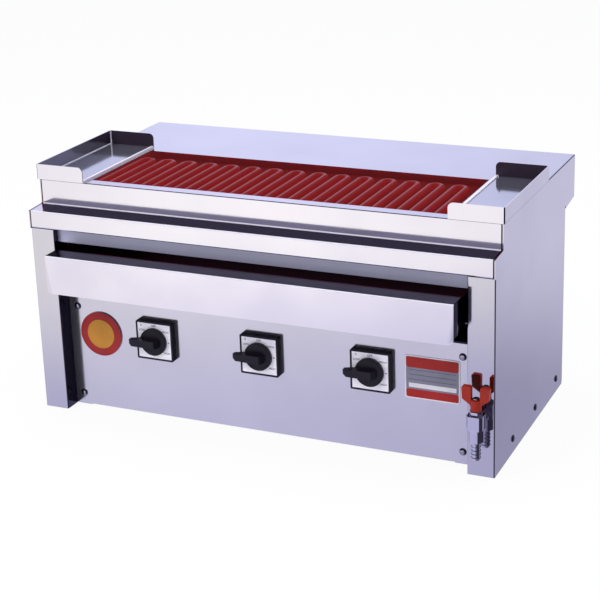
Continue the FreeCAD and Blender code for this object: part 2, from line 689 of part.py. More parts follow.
# Fifteen hairpin heaters: two straight legs and a bend, then a row of them.
body = new_body("heating_elements")
straight = TubeApex - TubeLegs / 2
legs = [("circle", -TubeFirst - TubeLegs / 2, TubeLevel, TubeRadius)]
legs += [("circle", -TubeFirst + TubeLegs / 2, TubeLevel, TubeRadius)]
tubes = pad(body, "hairpin_legs", "XZ", TubeStart, straight - TubeStart, legs)
bend_outline = ("circle", TubeLegs / 2, zero, TubeRadius)
bend = body.newObject("PartDesign::Revolution", "hairpin_bend")
bend_sketch = draw(body, "hairpin_bend_outline", "XZ", -straight, [bend_outline], -TubeFirst, TubeLevel)
bend.Profile = bend_sketch
bend.ReferenceAxis = (bend_sketch, ["V_Axis"])
bend.Angle = 180
doc.recompute()
repeated(body, "hairpin_row", [tubes, bend], tubes.Profile[0], TubePitch, 15)

# Ceramic beads on the tube ends and the links between neighbouring hairpins
body = new_body("terminal_insulators")
corner = BeadFlats / 2 / math.cos(math.radians(30))
beads = [ring_points(6, corner, -TubeFirst - TubeLegs / 2, TubeLevel)]
beads += [ring_points(6, corner, -TubeFirst + TubeLegs / 2, TubeLevel)]
bead = pad(body, "bead_pair", "XZ", BeadFront, TubeStart - BeadFront, beads)
doc.recompute()
repeated(body, "bead_row", [bead], bead.Profile[0], TubePitch, 15)

body = new_body("terminal_links")
links = []
for index in range(4):
    left = -TubeFirst + TubeLegs / 2 + TubePitch * index
    right = left + TubePitch - TubeLegs
    links.append(box(left - 3.5, right + 3.5, TubeLevel - 3, TubeLevel + 3))
link = pad(body, "link_group", "XZ", BeadFront - LinkThick, LinkThick, links)
doc.recompute()
repeated(body, "link_row", [link], link.Profile[0], TubePitch * 5, 3)


# End trays, open toward the fire
def end_tray(label, side):
    body = new_body(label)
    outer = half + TrayOver
    floor = box(TrayInner * side, outer * side, TrayFront, TrayBack)
    pad(body, label + "_floor", "XY", DeckHeight, Sheet, [floor])
    wall = [(TrayInner, TrayFront), (outer, TrayFront), (outer, TrayBack), (TrayInner, TrayBack)]
    wall += [(TrayInner, TrayBack - Sheet), (outer - Sheet, TrayBack - Sheet)]
    wall += [(outer - Sheet, TrayFront + Sheet), (TrayInner, TrayFront + Sheet)]
    wall = [(x * side, y) for x, y in wall]
    pad(body, label + "_walls", "XY", DeckHeight + Sheet / 2, TrayHigh - Sheet / 2, [wall])
    hem = box(TrayInner * side, (TrayInner + TrayHem) * side, TrayFront + Sheet, TrayBack - Sheet)
    pad(body, label + "_hem", "XY", DeckHeight + Sheet / 2, Sheet * 1.5, [hem])
    ends = [(TrayInner * side, DeckHeight + TrayHigh)]
    soften(body, label + "_wall_ends", "Y", ends, TrayCorner)
    folds = [(outer * side, TrayFront), (outer * side, TrayBack)]
    soften(body, label + "_folds", "Z", folds, Fold)


end_tray("end_tray_left", -1)
end_tray("end_tray_right", 1)

# Drawer front with turned-back edges, and the pan behind it
body = new_body("drawer_front")
face = box(-DrawerHalf, DrawerHalf, DrawerFoot, DrawerTop)
pad(body, "drawer_face", "XZ", -DrawerOut, Sheet, [face])
top = box(-DrawerHalf, DrawerHalf, -DrawerOut + Sheet / 2, -DrawerOut + DrawerEdge)
pad(body, "drawer_top_edge", "XY", DrawerTop - Sheet, Sheet, [top])
rear = -DrawerOut + DrawerEdge
ears = [box(-DrawerHalf, -DrawerHalf + Sheet, -DrawerOut + Sheet / 2, rear)]
ears += [box(DrawerHalf - Sheet, DrawerHalf, -DrawerOut + Sheet / 2, rear)]
pad(body, "drawer_side_edges", "XY", DrawerFoot + DrawerCorner, PanTop - DrawerFoot, ears)
trim = [box(-DrawerHalf - 1, DrawerHalf + 1, -DrawerOut - 1, rear + 1)]
cut(body, "drawer_top_trim", "XY", DrawerTop, 20, trim)
corners = [(-DrawerHalf, DrawerFoot), (DrawerHalf, DrawerFoot)]
soften(body, "drawer_corners", "Y", corners, DrawerCorner)
soften(body, "drawer_fold", "X", [(-DrawerOut, DrawerTop)], Fold)

body = new_body("drawer_pan")
pan_front = -DrawerOut + Sheet
outer = box(-PanHalf, PanHalf, pan_front, pan_front + PanLong)
pad(body, "pan_block", "XY", PanFoot, PanTop - PanFoot, [outer])
room = box(-(PanHalf - PanSheet), PanHalf - PanSheet, pan_front + PanSheet, pan_front + PanLong - PanSheet)
cut(body, "pan_room", "XY", PanFoot + PanSheet, PanTop - PanFoot, [room])
lower = []
for x in (-PanHalf, PanHalf):
    for y in (pan_front, pan_front + PanLong):
        lower.append((x, y))
soften(body, "pan_corners", "Z", lower, PanSheet)


# One rotary switch: escutcheon, dial plate, knob, shaft and the switch behind the panel
def rotary_switch(number):
    x = SwitchMiddle + SwitchPitch * (number - 2)
    z = SwitchLevel
    face = PanelBack - BezelThick
    tail = "_%d" % number

    def square(across):
        return box(x - across / 2, x + across / 2, z - across / 2, z + across / 2)

    body = new_body("escutcheon" + tail)
    pad(body, "bezel_block" + tail, "XZ", face, BezelThick, [square(BezelWide)])
    seat = DialSink + DialThick
    cut(body, "bezel_seat" + tail, "XZ", face, seat, [square(DialWide + DialFit * 2)])
    bore = [("circle", x, z, ShaftRadius + ShaftFit)]
    cut(body, "bezel_bore" + tail, "XZ", face, BezelThick + 1, bore)
    places = []
    for a in (-1, 1):
        for b in (-1, 1):
            places.append((x + BezelWide / 2 * a, z + BezelWide / 2 * b))
    soften(body, "bezel_corners" + tail, "Y", places, Fold)

    body = new_body("dial_plate" + tail)
    hole = ("circle", x, z, ShaftRadius + 2)
    pad(body, "dial_sheet" + tail, "XZ", face + DialSink, DialThick, [square(DialWide), hole])

    body = new_body("knob" + tail)
    rear = face - KnobGap
    front = rear - KnobThick
    disc = [(zero, zero), (zero, KnobRadius - 1), (as_size(1), KnobRadius)]
    disc += [(KnobThick, KnobRadius), (KnobThick, zero)]
    turned(body, "knob_disc" + tail, "Y", (x, front, z), disc)
    tip = front - LeverHigh
    side = [(x + LeverTail, front + 1), (x + LeverTail, front - LeverHigh / 2)]
    side += [(x + LeverTail - 4, tip), (x - LeverLong + 7, tip)]
    side += [(x - LeverLong, front - LeverHigh / 2), (x - LeverLong, front + 1)]
    pad(body, "knob_lever" + tail, "XY", z - LeverWide / 2, LeverWide, [side])
    bore = [("circle", x, z, ShaftRadius)]
    cut(body, "knob_bore" + tail, "XZ", front - LeverHigh / 2, KnobThick + LeverHigh, bore)

    body = new_body("knob_shaft" + tail)
    shaft = [("circle", x, z, ShaftRadius)]
    start = front - LeverHigh / 2
    pad(body, "shaft_rod" + tail, "XZ", start, panel_rear + 6 - start, shaft)

    body = new_body("switch_body" + tail)
    pad(body, "switch_block" + tail, "XZ", panel_rear, BlockDeep, [square(BlockWide)])
    bore = [("circle", x, z, ShaftRadius + ShaftFit)]
    cut(body, "switch_bore" + tail, "XZ", panel_rear, 7, bore)


for number in (1, 2, 3):
    rotary_switch(number)

# Badge disc and rating plate, both bare
body = new_body("emblem_disc")
edge = as_size(0.8)
disc = [(zero, zero), (zero, BadgeRadius - edge), (edge, BadgeRadius)]
disc += [(BadgeThick, BadgeRadius), (BadgeThick, zero)]
turned(body, "emblem_round", "Y", (-BadgeX, PanelBack - BadgeThick, BadgeLevel), disc)

body = new_body("rating_plate")
low = PlateLevel - PlateHigh / 2
high = PlateLevel + PlateHigh / 2
face = box(PlateX - PlateWide / 2, PlateX + PlateWide / 2, low, high)
pad(body, "rating_sheet", "XZ", PanelBack - PlateThick, PlateThick, [face])
places = []
for x in (PlateX - PlateWide / 2, PlateX + PlateWide / 2):
    for z in (low, high):
        places.append((x, z))
soften(body, "rating_corners", "Y", places, PlateCorner)

# Drain cock. The plug turns a quarter turn with its stem, handle and screw.
cock_y = -CockOut
body = new_body("valve_body")
block = box(CockX - CockWide / 2, CockX + CockWide / 2, cock_y - CockWide / 2, cock_y + CockWide / 2)
pad(body, "cock_block", "XY", CockFoot, CockTop - CockFoot, [block])
plug_room = [("circle", CockX, cock_y, PlugRadius + PlugFit)]
plug_foot = CockFoot + 3
cut(body, "cock_plug_room", "XY", plug_foot, CockTop - plug_foot + 1, plug_room)
cut(body, "cock_outlet", "XY", CockFoot - 1, 5, [("circle", CockX, cock_y, BarbBore)])
cut(body, "cock_inlet", "XZ", cock_y, CockWide, [("circle", CockX, PipeLevel, PipeBore)])
places = []
for a in (-1, 1):
    for b in (-1, 1):
        places.append((CockX + CockWide / 2 * a, cock_y + CockWide / 2 * b))
soften(body, "cock_bevels", "Z", places, CockCorner, True)


def hexagon(label, name, key, start, length, flats, a, b, hole):
    body = new_body(label)
    corner = flats / 2 / math.cos(math.radians(30))
    pad(body, name, key, start, length, [ring_points(6, corner, a, b), ("circle", a, b, hole)])
    return body


bonnet_hole = StemRadius + PlugFit
hexagon("valve_bonnet", "bonnet_hex", "XY", CockTop, HubFoot - CockTop - 0.4, NutFlats - 3,
        CockX, cock_y, bonnet_hole)

body = new_body("valve_plug")
plug_low = plug_foot + 0.1
plug_high = CockTop - 1
pad(body, "plug_round", "XY", plug_low, plug_high - plug_low, [("circle", CockX, cock_y, PlugRadius)])
cut(body, "plug_down", "XY", plug_low - 1, PipeLevel - plug_low + 1, [("circle", CockX, cock_y, BarbBore)])
cut(body, "plug_side", "YZ", CockX, PlugRadius + 1, [("circle", cock_y, PipeLevel, BarbBore)])

body = new_body("valve_stem")
pad(body, "stem_rod", "XY", plug_high, HubTop - plug_high, [("circle", CockX, cock_y, StemRadius)])

body = new_body("valve_handle")
pad(body, "handle_hub", "XY", HubFoot, HubTop - HubFoot, [("circle", CockX, cock_y, HubRadius)])
wing = [(HubRadius - 2, HubFoot + 3), (HubRadius, HubTop - 7), (HandleHalf - 1, HubTop + 1)]
wing += [(HandleHalf, HandleTop - 2), (HandleHalf - 2, HandleTop), (WingGap + 2, HandleTop)]
wing += [(WingGap, HandleTop - 2), (WingGap, HubTop)]
wings = [(CockX + across, up) for across, up in wing]
wings += [(CockX - across, up) for across, up in reversed(wing)]
pad(body, "handle_wings", "XZ", cock_y - HandleThick / 2, HandleThick, [wings])
cut(body, "handle_bore", "XY", HubFoot - 1, HubTop - HubFoot + 2, [("circle", CockX, cock_y, StemRadius)])

body = new_body("handle_screw")
pad(body, "handle_screw_head", "XY", HubTop, 3, [ring_points(6, as_size(5.2), CockX, cock_y)])

hexagon("outlet_nut", "outlet_hex", "XY", OutletFoot, CockFoot - OutletFoot, NutFlats, CockX, cock_y,
        BarbRoot)

body = new_body("hose_barb")
barb = [(BarbFoot, BarbBore), (BarbFoot, BarbRoot - 0.8)]
step = (OutletFoot - BarbFoot) / 5
for index in range(5):
    low = BarbFoot + step * index
    barb.append((low + step * 0.75, BarbRadius))
    barb.append((low + step * 0.75 + 0.6, BarbRoot))
    if index < 4:
        barb.append((low + step, BarbRoot))
barb += [(CockFoot, BarbRoot), (CockFoot, BarbBore)]
turned(body, "barb_round", "Z", (CockX, cock_y, zero), barb)

inlet = cock_y + CockWide / 2
hexagon("inlet_nut", "inlet_hex", "XZ", inlet, -inlet, NutFlats, CockX, PipeLevel, PipeRadius)


# Drain pipe: straight back through the leg, across, then up into the pan
def pipe_part(name, radius):
    shift = -(DeckBack - DrawerOut) / 2
    turn_y = DrainY
    pieces = []

    def rod(label, at, length, axis):
        item = doc.addObject("Part::Cylinder", name + label)
        item.Placement.Rotation = FreeCAD.Rotation(Vec(0, 0, 1), Vec(*axis))
        bind(item, "Radius", radius)
        bind(item, "Height", length)
        for key, value in zip("xyz", at):
            bind(item, "Placement.Base." + key, value)
        pieces.append(item)

    def elbow(label, at, x_way, y_way):
        item = doc.addObject("Part::Torus", name + label)
        x_way = Vec(*x_way)
        y_way = Vec(*y_way)
        item.Placement.Rotation = FreeCAD.Rotation(x_way, y_way, x_way.cross(y_way), "XYZ")
        bind(item, "Radius1", PipeBend)
        bind(item, "Radius2", radius)
        item.Angle3 = 90
        for key, value in zip("xyz", at):
            bind(item, "Placement.Base." + key, value)
        pieces.append(item)

    across = CockX - DrainX
    rod("_forward", (CockX, inlet + shift, PipeLevel), turn_y - PipeBend - inlet, (0, 1, 0))
    elbow("_bend_a", (CockX - PipeBend, turn_y - PipeBend + shift, PipeLevel), (1, 0, 0), (0, 1, 0))
    rod("_across", (CockX - PipeBend, turn_y + shift, PipeLevel), across - PipeBend * 2, (-1, 0, 0))
    elbow("_bend_b", (DrainX + PipeBend, turn_y + shift, PipeLevel + PipeBend), (0, 0, -1), (-1, 0, 0))
    top = PanelTop + Sheet - 0.3
    rod("_up", (DrainX, turn_y + shift, PipeLevel + PipeBend), top - PipeLevel - PipeBend, (0, 0, 1))
    whole = doc.addObject("Part::MultiFuse", name)
    whole.Shapes = pieces
    return whole


outside = pipe_part("pipe_outside", PipeRadius)
inside = pipe_part("pipe_inside", PipeBore)
pipe = doc.addObject("Part::Cut", "drain_pipe")
pipe.Label = "drain_pipe"
pipe.Base = outside
pipe.Tool = inside
nodes["drain_pipe"] = pipe

# Terminal block on the base plate
body = new_body("terminal_block")
block_low = PanelFoot + Sheet
block_x = -(GlandX - 10)
block_y = rear_in - 85
block_plan = box(block_x, block_x + TerminalLong, block_y, block_y + TerminalWide)
pad(body, "terminal_base", "XY", block_low, TerminalHigh, [block_plan])
slots = []
for index in range(5):
    slot_x = block_x + TerminalLong * (0.07 + 0.185 * index)
    slots.append(box(slot_x, slot_x + TerminalLong * 0.12, block_y - 1, block_y + TerminalWide * 0.4))
cut(body, "terminal_slots", "XY", block_low + TerminalHigh / 2, TerminalHigh, slots)

# Cable gland through the rear plate, and its nut inside
body = new_body("cable_gland")
gland = [(as_size(-9), GlandBore), (as_size(-9), GlandThread), (zero, GlandThread), (zero, GlandHead)]
gland += [(as_size(5), GlandHead), (as_size(7), GlandHead - 2), (as_size(18), GlandHead - 3)]
gland += [(as_size(21), GlandHead - 4.5), (as_size(21), GlandBore)]
turned(body, "gland_round", "Y", (-GlandX, CabinetBack, GlandLevel), gland)
hexagon("gland_nut", "gland_hex", "XZ", rear_in - 5, as_size(5), GlandHead * 2, -GlandX, GlandLevel,
        GlandThread)


# Screws with low dome heads. The head lies against the plate at "at".
def screw(body, name, axis, at, way):
    rim = HeadHigh * 0.4 * -way
    crown = HeadHigh * -way
    shank = ScrewLong * way
    profile = [(shank, zero), (shank, ScrewRadius), (zero, ScrewRadius), (zero, HeadRadius)]
    profile += [(rim, HeadRadius - 0.4), (crown, HeadRadius * 0.5), (crown, zero)]
    turned(body, name, axis, at, profile)


body = new_body("panel_screws")
for side in (-1, 1):
    for name, level in (("low", PanelScrewLow), ("high", PanelScrewHigh)):
        label = "panel_screw_%s_%s" % (name, "left" if side < 0 else "right")
        screw(body, label, "Y", (PanelScrewX * side, PanelBack, level), 1)

body = new_body("side_screws")
for side in (-1, 1):
    for index in range(3):
        label = "side_screw_%d_%s" % (index + 1, "left" if side < 0 else "right")
        place = SideScrewFirst + SideScrewPitch * index
        screw(body, label, "X", (half * side, place, SideScrewLevel), -side)

body = new_body("rear_screws")
for side in (-1, 1):
    for name, level in (("low", RearScrewLow), ("high", RearScrewHigh)):
        label = "rear_screw_%s_%s" % (name, "left" if side < 0 else "right")
        screw(body, label, "Y", (RearScrewX * side, CabinetBack, level), -1)

doc.recompute()
problems = []
for item in doc.Objects:
    for state in item.State:
        if state in ("Invalid", "Error"):
            problems.append("%s is %s" % (item.Label, state))
for item, before in cuts:
    if before is not None and item.Shape.Volume >= before.Shape.Volume - 1e-3:
        problems.append("%s cuts nothing" % item.Label)
os.makedirs("parts", exist_ok=True)
for label, item in nodes.items():
    shape = item.Shape
    if shape.isNull() or not shape.isValid() or not shape.Solids:
        problems.append("%s has no good shape" % label)
        continue
    shape.exportStep("parts/%s.step" % label)
    b = shape.BoundBox
    print("%-22s %2d solids  x %.1f %.1f  y %.1f %.1f  z %.1f %.1f" % (
        label, len(shape.Solids), b.XMin, b.XMax, b.YMin, b.YMax, b.ZMin, b.ZMax))
print("%d nodes" % len(nodes))
for line in problems:
    print("PROBLEM", line)
if problems:
    raise SystemExit(1)
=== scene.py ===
import json
import math
import bpy
from mathutils import Euler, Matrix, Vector

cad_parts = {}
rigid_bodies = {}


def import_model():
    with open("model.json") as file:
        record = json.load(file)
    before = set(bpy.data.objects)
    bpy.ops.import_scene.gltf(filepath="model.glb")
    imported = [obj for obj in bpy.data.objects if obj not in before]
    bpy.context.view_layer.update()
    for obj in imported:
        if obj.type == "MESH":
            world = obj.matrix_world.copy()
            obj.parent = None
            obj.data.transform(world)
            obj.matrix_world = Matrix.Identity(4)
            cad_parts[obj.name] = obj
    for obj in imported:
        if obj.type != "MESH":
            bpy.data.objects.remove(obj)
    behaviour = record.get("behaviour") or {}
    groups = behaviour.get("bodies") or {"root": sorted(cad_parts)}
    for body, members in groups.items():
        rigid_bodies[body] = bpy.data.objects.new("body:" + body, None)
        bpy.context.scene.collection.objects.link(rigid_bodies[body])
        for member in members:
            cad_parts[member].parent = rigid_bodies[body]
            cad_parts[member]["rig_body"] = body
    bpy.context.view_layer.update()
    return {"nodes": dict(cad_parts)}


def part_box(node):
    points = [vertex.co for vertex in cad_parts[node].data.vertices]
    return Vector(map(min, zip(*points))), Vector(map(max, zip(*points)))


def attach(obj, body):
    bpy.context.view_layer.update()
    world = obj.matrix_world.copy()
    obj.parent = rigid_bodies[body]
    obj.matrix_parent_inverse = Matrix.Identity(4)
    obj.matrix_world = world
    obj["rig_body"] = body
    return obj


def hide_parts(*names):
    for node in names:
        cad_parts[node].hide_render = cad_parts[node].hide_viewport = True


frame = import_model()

bpy.ops.object.select_all(action="DESELECT")
mm = 0.001
wall = 1.5 * mm  # of every folded sheet
slack = 0.5 * mm  # how far a face's middle may lie from its plane and still be found
turned = 0.15  # the share of a normal from which a face counts as turned that way
square = 0.9  # the share from which it counts as facing that way

# How every copy is worked over: angles in degrees, and the steps that round a fold or an edge.
rounding = {"join": 0.02 * mm, "flat": 1, "shape": 60, "fold": 40, "foldSteps": 3, "edge": 46,
            "edgeSteps": 2, "smooth": 35}


# Small tools
def only(piece):
    bpy.ops.object.select_all(action="DESELECT")
    piece.select_set(True)
    bpy.context.view_layer.objects.active = piece
    return piece


def applyModifier(piece, kind, **values):
    only(piece)
    modifier = piece.modifiers.new(kind.lower(), kind)
    for key, value in values.items():
        setattr(modifier, key, value)
    bpy.ops.object.modifier_apply(modifier=modifier.name)


def settle(piece):
    only(piece)
    bpy.ops.object.transform_apply(location=True, rotation=True, scale=True)
    return piece


def smooth(piece):
    only(piece)
    bpy.ops.object.shade_smooth_by_angle(angle=math.radians(rounding["smooth"]))


def dress(piece, finish):
    piece.data.materials.clear()
    piece.data.materials.append(finish)


def middleOf(node):
    low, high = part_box(node)
    return (low + high) / 2


# Goes into edit mode with only the points, edges or faces selected that pass the test.
def selectParts(piece, kind, test):
    only(piece)
    bpy.ops.object.mode_set(mode="EDIT")
    bpy.ops.mesh.select_mode(type=kind)
    bpy.ops.mesh.select_all(action="DESELECT")
    bpy.ops.object.mode_set(mode="OBJECT")
    mesh = piece.data
    for part in {"VERT": mesh.vertices, "EDGE": mesh.edges, "FACE": mesh.polygons}[kind]:
        part.select = test(part)
    bpy.ops.object.mode_set(mode="EDIT")


# Marks the edges where two wide faces meet, which on folded sheet are the folds.
def markFolds(piece, narrow, bend):
    mesh = piece.data
    folds = mesh.attributes.new("bevel_weight_edge", "FLOAT", "EDGE")
    sides = {}
    for face in mesh.polygons:
        for key in face.edge_keys:
            sides.setdefault(key, []).append(face)
    for edge in mesh.edges:
        faces = sides.get(edge.key, ())
        if len(faces) != 2:
            continue
        first, second = (mesh.vertices[index].co for index in edge.vertices)
        length = (first - second).length
        wide = all(face.area / length > narrow for face in faces)
        if wide and faces[0].normal.angle(faces[1].normal) > bend:
            folds.data[edge.index].value = 1.0


# A CAD node copied, its loose triangles joined, its folds bent round and its edges broken.
# Fold, edge and narrow are in millimetres; shape is a function that changes the form first.
def finishedCopy(node, finish, fold=0, edge=0.3, shape=None, narrow=2.2):
    source = frame["nodes"][node]
    piece = source.copy()
    piece.data = source.data.copy()
    piece.name = "finished_" + node
    bpy.context.scene.collection.objects.link(piece)
    piece.hide_render = False
    piece.hide_viewport = False
    for key in list(piece.keys()):
        if key.startswith("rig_"):
            del piece[key]
    piece.parent = None
    only(piece)
    bpy.ops.object.mode_set(mode="EDIT")
    bpy.ops.mesh.select_all(action="SELECT")
    bpy.ops.mesh.remove_doubles(threshold=rounding["join"])
    bpy.ops.mesh.tris_convert_to_quads(face_threshold=math.radians(rounding["flat"]),
                                       shape_threshold=math.radians(rounding["shape"]))
    bpy.ops.object.mode_set(mode="OBJECT")
    if shape:
        shape(piece)
    if fold:
        markFolds(piece, narrow * mm, math.radians(rounding["fold"]))
        applyModifier(piece, "BEVEL", width=fold * mm, segments=rounding["foldSteps"],
                      limit_method="WEIGHT", use_clamp_overlap=True)
    if edge:
        applyModifier(piece, "BEVEL", width=edge * mm, segments=rounding["edgeSteps"],
                      limit_method="ANGLE", angle_limit=math.radians(rounding["edge"]),
                      use_clamp_overlap=True)
    smooth(piece)
    applyModifier(piece, "WEIGHTED_NORMAL", keep_sharp=True)
    dress(piece, finish)
    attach(piece, source["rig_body"])
    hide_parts(node)
    return piece


# A further finish on the faces that pass the test, which gets their normal and middle.
def finishWhere(piece, finish, test):
    piece.data.materials.append(finish)
    index = len(piece.data.materials) - 1
    for face in piece.data.polygons:
        if test(face.normal, face.center):
            face.material_index = index


def sideways(normal, place):
    return abs(normal.x) > square


def upFront(normal, place):
    return normal.y < -turned and normal.z > turned


# Materials. Noise scales are per metre.
def newFinish(name, colour, metal, rough):
    finish = bpy.data.materials.new(name)
    finish.use_nodes = True
    tree = finish.node_tree
    shader = tree.nodes["Principled BSDF"]
    shader.inputs["Base Color"].default_value = (*colour, 1)
    shader.inputs["Metallic"].default_value = metal
    shader.inputs["Roughness"].default_value = rough
    place = tree.nodes.new("ShaderNodeTexCoord").outputs["Object"]
    return finish, tree, shader, place


def noise(tree, place, scale, detail=3.0, stretch=(1, 1, 1)):
    mapping = tree.nodes.new("ShaderNodeMapping")
    mapping.inputs["Scale"].default_value = stretch
    texture = tree.nodes.new("ShaderNodeTexNoise")
    texture.inputs["Scale"].default_value = scale
    texture.inputs["Detail"].default_value = detail
    tree.links.new(place, mapping.inputs["Vector"])
    tree.links.new(mapping.outputs["Vector"], texture.inputs["Vector"])
    return texture.outputs["Fac"]


noiseRange = (0.3, 0.7)  # where nearly all of a noise lies


# That range of a noise, spread over two values.
def spread(tree, value, low=0.0, high=1.0):
    ramp = tree.nodes.new("ShaderNodeMapRange")
    ramp.inputs["From Min"].default_value, ramp.inputs["From Max"].default_value = noiseRange
    ramp.inputs["To Min"].default_value = low
    ramp.inputs["To Max"].default_value = high
    tree.links.new(value, ramp.inputs["Value"])
    return ramp.outputs["Result"]


# Each of the two colours is a value or another node's output.
def mixColours(tree, share, first, second):
    mix = tree.nodes.new("ShaderNodeMix")
    mix.data_type = "RGBA"
    for socket, value in ((mix.inputs["A"], first), (mix.inputs["B"], second)):
        if isinstance(value, tuple):
            socket.default_value = (*value, 1)
        else:
            tree.links.new(value, socket)
    tree.links.new(share, mix.inputs["Factor"])
    return mix.outputs["Result"]


def times(colour, share):
    return tuple(part * share for part in colour)


def bump(tree, shader, value, distance, strength=1.0):
    node = tree.nodes.new("ShaderNodeBump")
    node.inputs["Distance"].default_value = distance
    node.inputs["Strength"].default_value = strength
    tree.links.new(value, node.inputs["Height"])
    tree.links.new(node.outputs["Normal"], shader.inputs["Normal"])


# Polished sheet: a faint grain, smudges that dull it a little, and a slow tint.
def polishedSteel(name, colour, shade, rough=0.12):
    finish, tree, shader, place = newFinish(name, colour, 1.0, rough)
    cloud = noise(tree, place, scale=3.0, detail=2.0)
    smudge = noise(tree, place, scale=14.0, detail=4.0)
    grain = noise(tree, place, scale=900.0, detail=2.0)
    tree.links.new(mixColours(tree, spread(tree, cloud), colour, shade),
                   shader.inputs["Base Color"])
    tree.links.new(spread(tree, smudge, rough * 0.75, rough * 1.5), shader.inputs["Roughness"])
    bump(tree, shader, grain, distance=0.012 * mm, strength=0.5)
    return finish


# Dull sheet inside the cabinet, and turned parts: stained, with a drawn-out grain.
def plainSteel(name, colour, stain, rough=0.38):
    finish, tree, shader, place = newFinish(name, colour, 1.0, rough)
    cloud = noise(tree, place, scale=9.0, detail=5.0)
    grain = noise(tree, place, scale=600.0, stretch=(1, 0.08, 0.08))
    tree.links.new(mixColours(tree, spread(tree, cloud), colour, stain),
                   shader.inputs["Base Color"])
    tree.links.new(spread(tree, cloud, rough * 0.8, rough * 1.3), shader.inputs["Roughness"])
    bump(tree, shader, grain, distance=0.03 * mm, strength=0.5)
    return finish


# Satin sheet, which scatters part of the light. Each finish made with it carries painted light
# in its colour: painted shade, painted reflection or a painted highlight.
def satinSteel(name, colour, metal, rough):
    finish, tree, shader, place = newFinish(name, colour, metal, rough)
    cloud = noise(tree, place, scale=7.0)
    grain = noise(tree, place, scale=700.0, detail=2.0, stretch=(0.05, 1, 1))
    tree.links.new(mixColours(tree, spread(tree, cloud), colour, times(colour, 0.93)),
                   shader.inputs["Base Color"])
    bump(tree, shader, grain, distance=0.012 * mm, strength=0.5)
    return finish


# Dull red-hot tube: oxide mottling on the metal and a glow that wanders a little.
def hotTube(name, colour, glow, rough):
    finish, tree, shader, place = newFinish(name, colour, 0.0, rough)
    cloud = noise(tree, place, scale=22.0, detail=4.0)
    oxide = noise(tree, place, scale=480.0)
    tree.links.new(mixColours(tree, spread(tree, cloud), colour, times(colour, 0.7)),
                   shader.inputs["Base Color"])
    tree.links.new(mixColours(tree, spread(tree, cloud), glow, times(glow, 0.88)),
                   shader.inputs["Emission Color"])
    shader.inputs["Emission Strength"].default_value = 1.0
    shader.inputs["Specular IOR Level"].default_value = 0.15
    bump(tree, shader, oxide, distance=0.08 * mm, strength=0.6)
    return finish


# Moulded or fired stuff: a fine even grain, a little worn.
def moulded(name, colour, rough=0.35, grainDepth=0.04 * mm):
    finish, tree, shader, place = newFinish(name, colour, 0.0, rough)
    grain = noise(tree, place, scale=1500.0, detail=2.0)
    wear = noise(tree, place, scale=60.0, detail=4.0)
    lighter = tuple(min(1.0, part * 1.25 + 0.004) for part in colour)
    tree.links.new(spread(tree, wear, rough * 0.8, rough * 1.25), shader.inputs["Roughness"])
    tree.links.new(mixColours(tree, spread(tree, wear), colour, lighter),
                   shader.inputs["Base Color"])
    shader.inputs["Specular IOR Level"].default_value = 0.25
    bump(tree, shader, grain, distance=grainDepth, strength=0.6)
    return finish


# Enamel under a thin clear coat, with a slight orange peel.
def enamel(name, colour, rough=0.28):
    finish, tree, shader, place = newFinish(name, colour, 0.0, rough)
    peel = noise(tree, place, scale=260.0, detail=2.0)
    cloud = noise(tree, place, scale=30.0)
    tree.links.new(mixColours(tree, spread(tree, cloud), colour, times(colour, 0.82)),
                   shader.inputs["Base Color"])
    shader.inputs["Specular IOR Level"].default_value = 0.2
    shader.inputs["Coat Weight"].default_value = 0.06
    shader.inputs["Coat Roughness"].default_value = 0.12
    bump(tree, shader, peel, distance=0.05 * mm, strength=0.5)
    return finish
